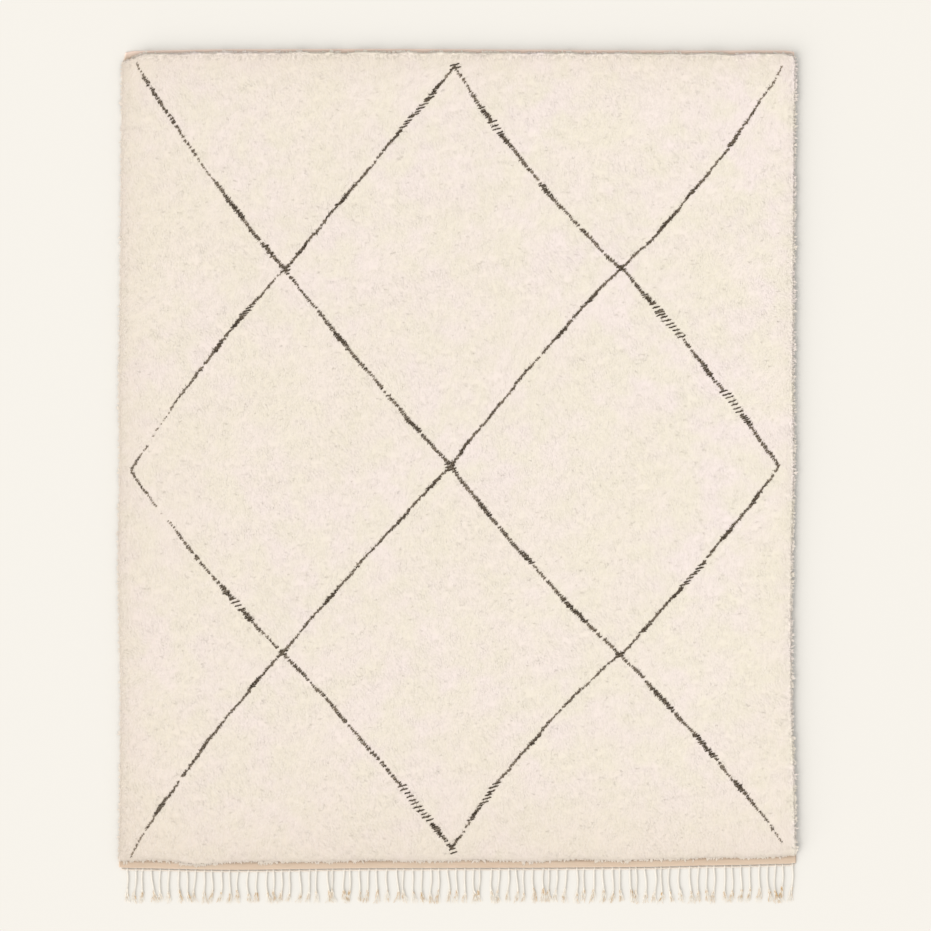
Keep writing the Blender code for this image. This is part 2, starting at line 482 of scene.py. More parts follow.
def insets(across, along):
    """Distances in from the nearer side and end of the pile, stretched at the right and the head, so that
    the pile rises steeply there."""
    side = np.minimum(across, (1 - across) * FAR_STEEP) * RUG_WIDTH
    foot = along * RUG_LENGTH - foot_band_at(across)
    head = (1 - along) * RUG_LENGTH - head_band_at(across)
    return side, np.minimum(foot, head * FAR_STEEP)


def edge_tint_and_painted_light(across, along):
    """How far the pile's colour is pulled to a darker beige: most at the ends, a little at the sides and more
    towards the left, and cleared towards the right side and the head, as painted light on edges in the pile's
    shadow.
    """
    side, end = insets(across, along)
    far = np.clip(1 - np.minimum((1 - across) * RUG_WIDTH, (1 - along) * RUG_LENGTH) / 0.02, 0, 1)
    return 0.55 * np.exp(-end / 0.18) + 0.45 * np.exp(-side / 0.05) + 0.28 * (1 - across) - 1.5 * far


def heart_height(across, along):
    side, end = insets(across, along)
    top = pile_height(side, end)
    x, y = on_rug(across, along)
    lumps = 0.0002 * drift(x, y, 0.03, 5)
    risen = WEAVE_TOP + (top - WEAVE_TOP) * HEART_SHARE + lumps
    return np.where(end > 0, np.maximum(WEAVE_TOP + 0.0004, risen), WEAVE_TOP - 0.0008)


def wool_facing(across, along):
    """Which way the pile's shading faces: up, and drawn a little towards the lamp along the shoulders."""
    left = np.clip(1 - across * RUG_WIDTH / EDGE_REACH, 0, 1)
    far = ((1 - across) * RUG_WIDTH, (1 - along) * RUG_LENGTH - head_band_at(across))
    right, head = (np.clip(1 - a / GLOW_REACH, 0, 1) * np.clip(a / EDGE_REACH, 0, 1) for a in far)
    return np.stack([-GLOW * (right + left), -GLOW * head, np.ones_like(right)], axis=1)


steep_right = RUG_WIDTH - 0.012
heart_across = shares(RUG_WIDTH, (SIDE_INSET, PILE_SHOULDER, 0.004), (PILE_SHOULDER, steep_right, HEART_STEP),
                      (steep_right, RUG_WIDTH - SIDE_INSET, SHOULDER_CUT))
heart_foot = FOOT_BAND - HEART_REACH
heart_head = RUG_LENGTH - HEAD_BAND + HEART_REACH
round_foot = heart_foot + 0.026
steep_head = heart_head - 0.018
heart_along = shares(RUG_LENGTH, (heart_foot, round_foot, 0.002), (round_foot, steep_head, HEART_STEP),
                     (steep_head, heart_head, SHOULDER_CUT))
heart_mesh, heart_u, heart_v = drawn_sheet("pile_heart", heart_across, heart_along, heart_height, HEART_BASE)
heart_mesh.normals_split_custom_set_from_vertices(wool_facing(heart_u, heart_v).tolist())

# %% [markdown]
# ## Where the lattice runs
# The weaver counts warps from a few fixed knots: the corners, the tips of the diamonds and the places where
# the lines cross. Between them each line leans a little off the straight. It is tied now thick, now thin,
# and in places as long rungs, one to a row, like a ladder. So the chart below is short: thirteen places, and
# sixteen legs with their bow and one letter for each sixteenth of the way.

# %% The lattice chart
PLACES = {
    # name: across from the rug's middle, along from it, in metres
    "head_left": (-0.985, 1.266),
    "head_tip": (-0.012, 1.252),
    "head_right": (0.985, 1.255),
    "upper_left": (-0.531, 0.634),
    "upper_right": (0.494, 0.637),
    "left_tip": (-1.000, 0.018),
    "middle": (-0.024, 0.032),
    "right_tip": (0.976, 0.031),
    "lower_left": (-0.537, -0.537),
    "lower_right": (0.491, -0.543),
    "foot_left": (-1.003, -1.159),
    "foot_tip": (-0.021, -1.136),
    "foot_right": (0.988, -1.116),
}
LEGS = (
    # from, to, bow to the right of the way in metres, strength in each sixteenth of the way
    ("head_left", "upper_left", 0.018, "fmmmmttffmddmmdm"),
    ("upper_left", "middle", 0.008, "mttmmdmmtmmmdmmm"),
    ("middle", "lower_right", 0.016, "mmmdmmmdtmmddmmm"),
    ("lower_right", "foot_right", -0.013, "tmmddmtddmtdmttf"),
    ("head_right", "upper_right", -0.029, "fttmmdmtmdtddmmm"),
    ("upper_right", "middle", 0.013, "mmdmmdmtmmtmmmdm"),
    ("middle", "lower_left", 0.008, "mdmmdmmtmmmdmmtm"),
    ("lower_left", "foot_left", 0.021, "mmdmmtmdmmtmdtff"),
    ("head_tip", "upper_left", 0.001, "tdllldmtmmdmmmdm"),
    ("upper_left", "left_tip", 0.020, "ftmldmdmmttf..ft"),
    ("head_tip", "upper_right", 0.025, "ttmdldmmtdmtmmtm"),
    ("upper_right", "right_tip", -0.013, "tmdlllmmdmlldmmm"),
    ("left_tip", "lower_left", 0.015, "ttf.ftmmtmdldmtm"),
    ("lower_left", "foot_tip", -0.009, "mmtmmmtmmmmllldm"),
    ("right_tip", "lower_right", -0.012, "tmdmmdmmlldmmdtm"),
    ("lower_right", "foot_tip", 0.030, "mmtmmtmdmmmlldtm"),
)
STRENGTHS = {
    # letter: a stroke's size across and along the rug in metres, share of rows and of half rows tied,
    # and how faded the wool is, from 0 to 1
    ".": (0.005, 0.0050, 0.35, 0.20, 0.80),
    "f": (0.005, 0.0062, 0.88, 0.70, 0.62),
    "t": (0.0065, 0.0068, 0.97, 0.88, 0.40),
    "m": (0.0092, 0.0074, 1.00, 0.90, 0.30),
    "d": (0.0130, 0.0084, 1.00, 1.00, 0.08),
    "l": (0.021, 0.0078, 1.00, 0.06, 0.20),
}
BARS = (
    # place, rungs, length across in metres
    ("middle", 3, 0.032),
    ("upper_left", 2, 0.024),
    ("upper_right", 2, 0.022),
    ("lower_left", 2, 0.024),
    ("lower_right", 2, 0.026),
    ("head_tip", 2, 0.026),
    ("foot_tip", 3, 0.020),
)
KNOT_PITCH = 0.0019  # between dark locks in a stroke
BAR_DEPTH = 0.0074  # along the rug
BAR_FADE = 0.1
SHORT_STROKE_LIE = -0.15  # how far round from the foot a short stroke's locks lie
RUNG_LENGTH = 0.0145  # strokes longer than this lie along the row
STROKE_TILT = 0.28  # rows were beaten down a little aslant
chart_draw = np.random.default_rng(23)


def leg_strokes(number, start, end, bow, strengths):
    """The strokes of one leg, as (x, y, size across, size along, fading)."""
    a, b = np.array(PLACES[start]), np.array(PLACES[end])
    way = b - a
    right = np.array([way[1], -way[0]]) / np.hypot(*way)
    rows = int(abs(way[1]) / (ROW_PITCH / 2))
    found = []
    for row in range(rows):
        share = (row + 0.5) / rows
        across, along, full, between, fade = STRENGTHS[strengths[int(share * len(strengths))]]
        chance = between if row % 2 else full
        swing = math.sin(share * 17 + number) * 0.0012 + math.sin(share * 41 + 2 * number) * 0.0010
        x, y = a + way * share + right * (bow * (4 * share * (1 - share)) ** 0.8 + swing)
        x += chart_draw.normal(0, 0.0010)
        y += chart_draw.normal(0, 0.0008)
        across *= chart_draw.uniform(0.7, 1.25)
        along *= chart_draw.uniform(0.8, 1.2)
        fade = min(max(fade + 0.15 * (row % 2) + chart_draw.normal(0, 0.10), 0.0), 1.0)
        if chart_draw.random() < chance:
            found.append((x, y, across, along, fade))
    return found


strokes = []
for number, leg in enumerate(LEGS):
    strokes += leg_strokes(number, *leg)
for name, rungs, length in BARS:
    for rung in range(rungs):
        height = PLACES[name][1] + (rung - (rungs - 1) / 2) * ROW_PITCH
        shift = chart_draw.normal(0, 0.002)
        across = length * chart_draw.uniform(0.8, 1.1)
        strokes.append((PLACES[name][0] + shift, height, across, BAR_DEPTH, BAR_FADE))
print(len(strokes), "strokes of dark wool")

# %% [markdown]
# A stroke is a few knots side by side. Locks hang to the foot in a short one and lie along a rung.

# %% Dark knots along each stroke
knots = []
for x, y, across, along, fade in strokes:
    count = max(1, round(across / KNOT_PITCH))
    lie = math.pi / 2 + STROKE_TILT if across > RUNG_LENGTH else SHORT_STROKE_LIE
    for spot in range(count):
        off = (spot - (count - 1) / 2) * KNOT_PITCH
        tilt = off * STROKE_TILT + chart_draw.normal(0, 0.0007)
        own_fade = min(max(fade + chart_draw.normal(0, 0.12), 0.0), 1.0)
        knots.append((x + off + chart_draw.normal(0, 0.0005), y + tilt, along, own_fade, lie))
knots = np.array(knots)
print(len(knots), "dark knots")

# %% [markdown]
# ## Locks of wool
# One lock is a soft bud: it leaves its knot thin, swells where it bends over, and thins out to its tip.
# Five points are enough for it: the root, three corners round the bend, and the tip. A hundred thousand
# locks would be far too many objects, so whole strips of the pile are joined meshes, worked out as arrays.

# %% Locks from arrays
BAKE_MAP = "OFBake"
LOCK_FACES = np.array([[0, 3, 1], [0, 2, 3], [4, 1, 3], [4, 3, 2], [0, 1, 2], [4, 2, 1]])
UPPER_MAP = np.array([[0.5, 0.0], [0.0, 0.35], [1.0, 0.35], [0.5, 0.35], [0.5, 0.7]])
LOWER_MAP = np.array([[0.0, 0.75], [0.5, 1.0], [1.0, 0.75], [0.5, 0.9], [1.0, 1.0]])
SOFTNESS = 0.06  # how far a lock's shading leans away from straight up
LOCK_SHADE = np.array([1.0, 0.3, 0.3, 0.2, 0.0])  # how deep in the pile each point lies


def locks_mesh(name, locks, width, depth, faces_to, values):
    """Joined locks, given as the places of their roots, bends and tips. width and depth are half sizes at
    the bend, and faces_to is the way each lock's shading faces."""
    root, bend, tip = locks
    count = len(root)
    way = tip - root
    way[:, 2] = 0
    way /= np.maximum(np.linalg.norm(way, axis=1, keepdims=True), 1e-9)
    left = np.stack([-way[:, 1], way[:, 0], np.zeros(count)], axis=1)
    up = np.tile([0.0, 0.0, 1.0], (count, 1))
    side = left * width[:, None]
    rise = up * depth[:, None]
    corners = np.stack([root, bend + side - rise * 0.6, bend - side - rise * 0.6, bend + rise, tip], axis=1)
    turns = (up * 0, left, -left, up * 0, way)
    facing = np.stack([faces_to + turn * SOFTNESS for turn in turns], axis=1)
    faces = (np.arange(count)[:, None, None] * 5 + LOCK_FACES).reshape(-1, 3)
    mesh = bpy.data.meshes.new(name)
    mesh.from_pydata(corners.reshape(-1, 3).tolist(), [], faces.tolist())
    cells = math.ceil(math.sqrt(count))
    number = np.arange(count)
    cell = np.stack([number % cells, number // cells], axis=1)[:, None, None, :]
    own = np.concatenate([UPPER_MAP[LOCK_FACES[:4]], LOWER_MAP[LOCK_FACES[4:]]])
    layer = mesh.uv_layers.new(name=BAKE_MAP)
    layer.uv.foreach_set("vector", ((cell + 0.08 + 0.84 * own) / cells).ravel())
    mesh.shade_smooth()
    facing /= np.linalg.norm(facing, axis=2, keepdims=True)
    mesh.normals_split_custom_set_from_vertices(facing.reshape(-1, 3).tolist())
    for key, value in values.items():
        stored(mesh, key, value.ravel() if value.ndim == 2 else np.repeat(value, 5))
    return mesh


# %% [markdown]
# Each lock of the ivory pile gets its own small accidents: where it is tied, how far and which way it leans.
# Neighbours lean alike, since a hand or a foot has brushed them together, so the lean follows a smooth
# field. Locks are laid on the rug by shares, so one function can lay them on the flat and over the edges.
# Here and there a row has parted: two short rows are missing, and the roots under them show. The parted locks
# are darkened with painted shade.

# %% Tie the ivory rows
LOCK_PITCH = 0.0071
LOCK_LEAN = 0.0175  # how far the tip lies from the root
LOCK_WIDTH = 0.0029  # half a lock's width at its bend, and then half its depth
LOCK_DEPTH = 0.0011
LOCK_INSET = 0.010
ROOT_SUNK = 0.0006  # in the heart
BEND_DROP = 0.0013  # below the pile's top
TIP_DROP = 0.0022
PARTINGS = 620
# painted shade on the locks of a parted row, for the shadow in the gap
PARTING_SHADE = 1.5
STRIPS = 4  # so that no mesh grows too heavy
ivory_draw = np.random.default_rng(41)


def laid_locks(u, v, turn, lean, loft, curl, least=0.0035):
    """Roots, bends and tips of locks tied at these shares. turn is how far round from the foot a lock lies,
    and lean is how far its tip reaches. None hangs lower than the least height."""
    run_x, run_y = np.sin(turn) * lean, -np.cos(turn) * lean
    spots = []
    for share, sideways in ((0.0, 0.0), (0.45, curl), (1.0, 0.0)):
        own_u = u + (run_x * share + np.cos(turn) * sideways) / RUG_WIDTH
        own_v = v + (run_y * share + np.sin(turn) * sideways) / RUG_LENGTH
        x, y = on_rug(own_u, own_v)
        top = pile_height(*insets(own_u, own_v))
        spots.append((x, y, top, WEAVE_TOP + (top - WEAVE_TOP) * HEART_SHARE))
    (x, y, _, low), (bend_x, bend_y, bend_top, bend_low), (tip_x, tip_y, tip_top, _) = spots
    root = np.stack([x, y, low - ROOT_SUNK], axis=1)
    bend_z = np.maximum(np.maximum(bend_low + 0.0003, bend_top - BEND_DROP + loft), least)
    tip_z = np.maximum(tip_top - TIP_DROP + loft, least)
    return root, np.stack([bend_x, bend_y, bend_z], axis=1), np.stack([tip_x, tip_y, tip_z], axis=1)


rows = round((RUG_LENGTH - FOOT_BAND - HEAD_BAND) / LOCK_PITCH)
per_row = round((RUG_WIDTH - 2 * LOCK_INSET) / LOCK_PITCH)
row, knot = (a.ravel() for a in np.meshgrid(np.arange(rows), np.arange(per_row), indexing="ij"))
count = len(row)
u = (knot + 0.5 + ivory_draw.uniform(-0.5, 0.5, count)) / per_row
u = (LOCK_INSET + (RUG_WIDTH - 2 * LOCK_INSET) * u) / RUG_WIDTH
start = foot_band_at(u) + 0.012
stop = RUG_LENGTH - head_band_at(u) - 0.006
v = (start + (stop - start) * (row + 0.5 + ivory_draw.uniform(-0.4, 0.4, count)) / rows) / RUG_LENGTH
x, y = on_rug(u, v)

parted = np.zeros(count, dtype=bool)
missing = np.zeros(count, dtype=bool)
for _ in range(PARTINGS):
    at = ivory_draw.integers(3, rows - 4) * per_row + ivory_draw.integers(2, per_row - 6)
    wide = ivory_draw.integers(2, 5)
    parted[at:at + wide] = True
    for above in (1, 2):
        missing[at + above * per_row:at + above * per_row + wide] = True

turn = 0.45 * drift(x, y, 0.18, 9) + ivory_draw.normal(0, 0.38, count)
lean = LOCK_LEAN * ivory_draw.uniform(0.7, 1.25, count)
loft = ivory_draw.normal(0, 0.0002, count)
curl = ivory_draw.normal(0, 0.0013, count)
root, bend, tip = laid_locks(u, v, turn, lean, loft, curl)

# %% [markdown]
# An ivory lock mustn't cover a dark one, so a grid over the rug marks the squares that dark knots take, and
# ivory locks on them are left out. Faded knots claim their squares less often.

# %% Leave room for the dark knots
GRID = 0.002
MARGIN = 0.05
low = np.array([rug_low.x - MARGIN, rug_low.y - MARGIN])
taken = np.zeros((int((RUG_WIDTH + 2 * MARGIN) / GRID), int((RUG_LENGTH + 2 * MARGIN) / GRID)), dtype=bool)
cell = ((knots[:, :2] - low) / GRID).astype(int)
strong = knots[:, 3] < chart_draw.uniform(0.35, 1.1, len(knots))
for dx in (-1, 0, 1):
    for dy in (-1, 0, 1, 2):
        taken[cell[strong, 0] + dx, cell[strong, 1] + dy] = True
spot = ((bend[:, :2] - low) / GRID).astype(int)
end_spot = (((bend[:, :2] + tip[:, :2]) / 2 - low) / GRID).astype(int)
free = ~(missing | taken[spot[:, 0], spot[:, 1]] | taken[end_spot[:, 0], end_spot[:, 1]])
print(int(free.sum()), "ivory locks,", int((~free).sum()), "left out")

# %% [markdown]
# Round the rim the locks fall outwards, low at the left and the foot and high at the right and the head.
# They stand closely, so that no bare shoulder shows, and in longer and shorter tufts, so that the edge is
# never a clean line. At the ends they reach a little over the bare bands.

# %% Hang the rim's locks
RIM_WIDTH = 0.026
RIM_PITCH = 0.0046
RIM_LEAN = 0.0115
RIM_INSET = 0.0015
TUFT_SIZE = 0.007
RIM_FOLDS = (
    # outwards across and along, how far the locks reach, and the least height of their tips in metres
    (-1, 0, 0.7, 0.006),
    (1, 0, 0.9, 0.014),
    (0, -1, 0.9, 0.007),
    (0, 1, 0.6, 0.012),
)
rim_draw = np.random.default_rng(43)

rim_shares = []
for out_x, out_y, reach, least in RIM_FOLDS:
    span = RUG_LENGTH - FOOT_BAND - HEAD_BAND if out_x else RUG_WIDTH
    many = round(span * RIM_WIDTH / RIM_PITCH ** 2)
    place = rim_draw.random(many)
    inset = RIM_INSET + RIM_WIDTH * rim_draw.random(many) ** 1.4
    if out_x:
        own_u = inset / RUG_WIDTH if out_x < 0 else 1 - inset / RUG_WIDTH
        foot_end, head_end = foot_band_at(own_u) + 0.002, RUG_LENGTH - head_band_at(own_u) - 0.002
        own_v = (foot_end + (head_end - foot_end) * place) / RUG_LENGTH
    else:
        own_u = (0.003 + (RUG_WIDTH - 0.006) * place) / RUG_WIDTH
        foot_line, head_line = foot_band_at(own_u) + inset, RUG_LENGTH - head_band_at(own_u) - inset
        own_v = (foot_line if out_y < 0 else head_line) / RUG_LENGTH
    own_turn = math.atan2(out_x, -out_y) + rim_draw.normal(0, 0.45, many)
    tuft = drift(own_u * RUG_WIDTH, own_v * RUG_LENGTH, TUFT_SIZE, 29)
    own_lean = RIM_LEAN * reach * rim_draw.uniform(0.6, 1.15, many) * (1 + 0.55 * np.clip(tuft, -0.8, 1.2))
    rim_shares.append(np.stack([own_u, own_v, own_turn, own_lean, np.full(many, least)]))
rim_u, rim_v, rim_turn, rim_lean, rim_least = np.concatenate(rim_shares, axis=1)
rim_many = len(rim_u)
rim_loft = rim_draw.normal(0.0002, 0.0005, rim_many)
rim_curl = rim_draw.normal(0, 0.0010, rim_many)
rim_locks = laid_locks(rim_u, rim_v, rim_turn, rim_lean, rim_loft, rim_curl, rim_least)

# %% [markdown]
# A few thin ends of yarn have worked loose and lie across the rows on top of the pile. Some are darkened with
# painted shade, as thin painted shadows across the rows.

# %% Loose ends that lie across the rows
LOOSE = 1900
LOOSE_WIDTH = 0.0008
LOOSE_LOFT = 0.0014
loose_draw = np.random.default_rng(67)
loose_u = loose_draw.uniform(0.02, 0.98, LOOSE)
loose_v = loose_draw.uniform(0.025, 0.975, LOOSE)
loose_turn = math.pi / 2 + loose_draw.normal(0, 0.30, LOOSE)
loose_lean = loose_draw.uniform(0.006, 0.020, LOOSE)
loose_loft = np.full(LOOSE, LOOSE_LOFT)
loose_curl = loose_draw.normal(0, 0.0012, LOOSE)
loose_locks = laid_locks(loose_u, loose_v, loose_turn, loose_lean, loose_loft, loose_curl)

# %% [markdown]
# Ivory wool is never one white. Fleeces differ, so wide clouds of the pile are a touch pinker or yellower,
# locks differ singly, and a lock is darker at its root, painted shade where less light reaches. The pile
# turns a little darker and yellower towards the ends, the sides and the left; painted shade darkens it along
# the left edge and near the foot band, and painted light clears the darkening along the right side and the
# head, which lie in the pile's shadow. Parted rows and some loose ends carry painted shade too. Bump gives
# each lock its hairs.

# %% The ivory finish
def ivory_finish(name):
    """The wool of the pile, with its clouds and its edge tint, cleared near the right side and the head as
    painted light; returns the finish and the colour.
    """
    wool = Finish(name, 0.95, 0.15)
    fleece = wool.clouds(0.09, 3.0)
    sunned = wool.clouds(0.35, 1.0, (1.0, 0.8, 1.0))
    pink = wool.dyed((fleece * 4.4 - 1.7).held(), (0.825, 0.763, 0.656), (0.856, 0.759, 0.730))
    yellow = wool.dyed((sunned * 3.4 - 1.4).held() * 0.5, pink, (0.821, 0.760, 0.626))
    return wool, wool.dyed(wool.kept("tint_and_light"), yellow, (0.735, 0.640, 0.550))


ROOT_SHADE = (0.62, 0.54, 0.45)
ivory, warm = ivory_finish("ivory_locks")
own = ivory.dyed((ivory.kept("tone") * 0.5 + 0.5).held(), (0.775, 0.712, 0.600), (0.900, 0.815, 0.755))
blended = ivory.dyed(0.28, warm, own)
# painted shade from the stored shade: at the roots, along the left edge and the foot, in parted rows and on
# some loose ends
rooted = ivory.dyed(ivory.kept("shade") * 0.10, blended, ROOT_SHADE)
hair = ivory.clouds(0.0010, 2.0, (1.0, 0.25, 1.0))
ivory.wear(rooted, ivory.bumped(hair, 0.0006, 0.5))

heart, heart_warm = ivory_finish("ivory_heart")
# painted shade: the whole heart is pulled a tenth of the way to the root shade, as it lies below the locks
deep = heart.dyed(0.10, heart_warm, ROOT_SHADE)
heart.wear(deep, heart.bumped(heart.clouds(0.004, 3.0), 0.0006, 0.4))
pile_heart = piece("pile_heart", heart_mesh, heart.material)
# the edge tint, with painted light along the right side and the head
stored(heart_mesh, "tint_and_light", edge_tint_and_painted_light(heart_u, heart_v))


def pile_piece(name, locks, u, v, painted_shade, size, draw):
    """One joined mesh of ivory locks, as a piece, with extra painted shade on each lock as given; size is its
    half width.
    """
    many = len(u)
    place = on_rug(u, v)
    left, foot = u * RUG_WIDTH, v * RUG_LENGTH - foot_band_at(u)
    # painted shade: locks darken within 9 mm of the left edge and more within 20 mm of the foot band
    painted_edge_shade = 1.2 * np.clip(1 - left / 0.009, 0, 1) + 4.5 * np.clip(1 - foot / 0.020, 0, 1) ** 2
    patches = 0.7 * drift(*place, 0.022, 19) + 0.4 * drift(*place, 0.009, 31)
    own = {
        "tone": 0.1 * draw.normal(0, 1, many) + patches,
        "shade": LOCK_SHADE + (painted_edge_shade + painted_shade)[:, None],
        "tint_and_light": edge_tint_and_painted_light(u, v),
    }
    width = size * draw.uniform(0.8, 1.2, many)
    depth = LOCK_DEPTH * draw.uniform(0.85, 1.15, many) * size / LOCK_WIDTH
    made = locks_mesh(name, locks, width, depth, wool_facing(u, v), own)
    return piece(name, made, ivory.material)


no_shade = np.zeros(rim_many)
# painted shade on some loose ends, as thin shadow dashes across the rows
loose_shade = loose_draw.choice([0.0, 2.6, 5.5], LOOSE)
pile_pieces = [
    pile_piece("ivory_rim", rim_locks, rim_u, rim_v, no_shade, LOCK_WIDTH, rim_draw),
    pile_piece("loose_ends", loose_locks, loose_u, loose_v, loose_shade, LOOSE_WIDTH, loose_draw),
]
for strip in range(STRIPS):
    chosen = free & (row >= strip * rows // STRIPS) & (row < (strip + 1) * rows // STRIPS)
    locks = [part[chosen] for part in (root, bend, tip)]
    own_shade = PARTING_SHADE * parted[chosen]
    name = f"ivory_pile_{strip + 1}"
    pile_pieces.append(pile_piece(name, locks, u[chosen], v[chosen], own_shade, LOCK_WIDTH, ivory_draw))

# %% [markdown]
# ## The dark knots
# They are tied in brown-black wool from dark sheep, in the same rows. A dark lock is a little thinner than
# an ivory one. The faded stretches of a line are paler wool, tied thin, and loose dark hairs stray upwards.

# %% Tie them
DARK_WIDTH = 0.0018
DARK_DEPTH = 0.0012
RUNG_FULLER = 1.25  # a rung's locks are this much wider
STRAYS = 1200
STRAY_WIDTH = 0.0006
STRAY_DEPTH = 0.0005
STRAY_FADE = 0.45
STRAY_RISE = 0.0026
dark_draw = np.random.default_rng(57)


def run_of(turn, length, rise):
    """The way from root to tip: turned this far round from the foot."""
    return np.stack([np.sin(turn) * length, -np.cos(turn) * length, rise], axis=1)


many_dark = len(knots)
knot_x, knot_y, dark_lean, fade, lie = knots.T
thin = 1 - 0.35 * fade
dark_turn = lie + dark_draw.normal(0, 0.45, many_dark) * np.where(lie > 0, 0.4, 1.0)
dark_lean = dark_lean * dark_draw.uniform(1.15, 1.55, many_dark)
heart_top = WEAVE_TOP + (PILE_TOP - WEAVE_TOP) * HEART_SHARE
dark_run = run_of(dark_turn, dark_lean, np.zeros(many_dark))
knot_place = np.stack([knot_x, knot_y, np.full(many_dark, heart_top + 0.0002)], axis=1)
dark_root = knot_place - dark_run / 2
dark_tip = dark_root + dark_run
dark_bend = (dark_root + dark_tip) / 2
dark_bend[:, 2] = PILE_TOP - 0.0004 + dark_draw.normal(0, 0.0004, many_dark)
dark_tip[:, 2] = PILE_TOP - 0.0011 + dark_draw.normal(0, 0.0004, many_dark)
dark_width = DARK_WIDTH * dark_draw.uniform(0.8, 1.2, many_dark) * thin * np.where(lie > 0, RUNG_FULLER, 1.0)
dark_depth = DARK_DEPTH * dark_draw.uniform(0.8, 1.2, many_dark) * thin

pick = dark_draw.choice(many_dark, STRAYS, p=(1.05 - fade) / (1.05 - fade).sum())
stray_turn = math.pi + dark_draw.normal(0.5, 0.9, STRAYS)
stray_run = dark_draw.uniform(0.005, 0.012, STRAYS)
stray_root = np.stack([knot_x[pick], knot_y[pick], np.full(STRAYS, PILE_TOP - 0.004)], axis=1)
stray_tip = stray_root + run_of(stray_turn, stray_run, np.full(STRAYS, STRAY_RISE))
stray_bend = (stray_root + stray_tip) / 2
stray_bend[:, 2] = PILE_TOP - 0.0006

dark_mesh = locks_mesh(
    "dark_knots",
    [np.vstack(pair) for pair in ((dark_root, stray_root), (dark_bend, stray_bend), (dark_tip, stray_tip))],
    np.concatenate([dark_width, np.full(STRAYS, STRAY_WIDTH)]),
    np.concatenate([dark_depth, np.full(STRAYS, STRAY_DEPTH)]),
    np.tile([0.0, 0.0, 1.0], (many_dark + STRAYS, 1)),
    {"fade": np.concatenate([fade + dark_draw.normal(0, 0.08, many_dark), np.full(STRAYS, STRAY_FADE)])},
)
dark = Finish("dark_locks", 0.95, 0.04)
undyed = dark.dyed(dark.kept("fade").held(), (0.046, 0.033, 0.021), (0.35, 0.28, 0.205))
grain = dark.clouds(0.006)
flecked = dark.dyed((grain * 3.0 - 1.5).held() * 0.35, undyed, (0.16, 0.12, 0.09))
dark.wear(flecked, dark.bumped(dark.clouds(0.0011), 0.0005, 0.5))
dark_knots = piece("dark_knots", dark_mesh, dark.material)

# %% [markdown]
# ## The fringe
# The warp ends are plied in pairs into single strands, each about as thick as a pencil, and their tips are
# left to open. A strand is two round plies wound about its line, and its tip is a spray of thin wavy yarns.
# Where the strands leave the weave, one twined row of cord locks the last pick in place.

# %% Round yarns from arrays
def yarns_mesh(name, paths, radii, sides, values):
    """Joined round yarns. paths: (yarns, steps, 3); radii: (yarns, steps). Both ends are closed."""
    many, steps = radii.shape
    ahead = np.gradient(paths, axis=1)
    ahead /= np.maximum(np.linalg.norm(ahead, axis=2, keepdims=True), 1e-12)
    flat = np.cross(ahead, [0.0, 0.0, 1.0])
    flat /= np.maximum(np.linalg.norm(flat, axis=2, keepdims=True), 1e-12)
    lift = np.cross(flat, ahead)
    angle = np.arange(sides) * ROUND / sides
    ring = flat[:, :, None] * np.cos(angle)[:, None] + lift[:, :, None] * np.sin(angle)[:, None]
    corners = paths[:, :, None] + ring * radii[:, :, None, None]
    first = np.arange(many)[:, None, None] * steps * sides
    step = np.arange(steps - 1)[None, :, None] * sides
    turn = np.arange(sides)[None, None, :]
    after = (turn + 1) % sides
    quads = np.stack([first + step + turn, first + step + after,
                      first + step + sides + after, first + step + sides + turn], axis=3)
    starts = first[:, 0] + np.arange(sides)[None, ::-1]
    ends = first[:, 0] + (steps - 1) * sides + np.arange(sides)[None]
    faces = quads.reshape(-1, 4).tolist() + starts.tolist() + ends.tolist()
    mesh = bpy.data.meshes.new(name)
    mesh.from_pydata(corners.reshape(-1, 3).tolist(), [], faces)
    lane = 1 / many
    along = np.arange(steps) / (steps - 1) * 0.98 + 0.01
    around = np.arange(sides + 1) / sides * 0.86 + 0.07
    number = np.arange(many)[:, None, None]
    left, right = along[:-1][None, :, None], along[1:][None, :, None]
    bottom, ceiling = (number + around[:-1]) * lane, (number + around[1:]) * lane
    shape = np.broadcast(left, bottom).shape
    sheet_corners = ((left, bottom), (left, ceiling), (right, ceiling), (right, bottom))
    spread = [[np.broadcast_to(a, shape), np.broadcast_to(b, shape)] for a, b in sheet_corners]
    wrap = np.stack([np.stack(pair, axis=-1) for pair in spread], axis=3)
    caps = []
    for place in (0.004, 0.996):
        dots = np.stack([place + 0.003 * np.cos(angle), 0.5 + 0.3 * np.sin(angle)], axis=1)
        cap_down = (np.arange(many)[:, None] + dots[:, 1]) * lane
        caps.append(np.stack([np.tile(dots[:, 0], (many, 1)), cap_down], axis=2))
    layer = mesh.uv_layers.new(name=BAKE_MAP)
    places = np.concatenate([wrap.reshape(-1, 2), caps[0].reshape(-1, 2), caps[1].reshape(-1, 2)])
    layer.uv.foreach_set("vector", places.ravel())
    mesh.shade_smooth()
    mesh.set_sharp_from_angle(angle=math.radians(60))
    for key, value in values.items():
        stored(mesh, key, np.repeat(value.ravel(), sides))
    return mesh


# %% [markdown]
# The frame's fringe is a plain comb. Drawing its numbers again, in its order, gives each strand its line.

# %% The strands' lines, as in the frame
STRAND_COUNT = 78
STRAND_WIDTH = 0.007
STRAND_WANDER = 0.22
STRAND_SWAY = 0.0035
STRAND_LEAN = 0.007
SHORTEST_STRAND = 0.965
HEADING_DEPTH = 0.005
HEADING_LEFT_INSET = 0.018
HEADING_RIGHT_INSET = 0.004
STRAND_SEED = 11
PIECE_GAP = 0.0003
STRAND_CURL = 0.0045  # the plying leaves each strand a lazy curl, more towards its tip

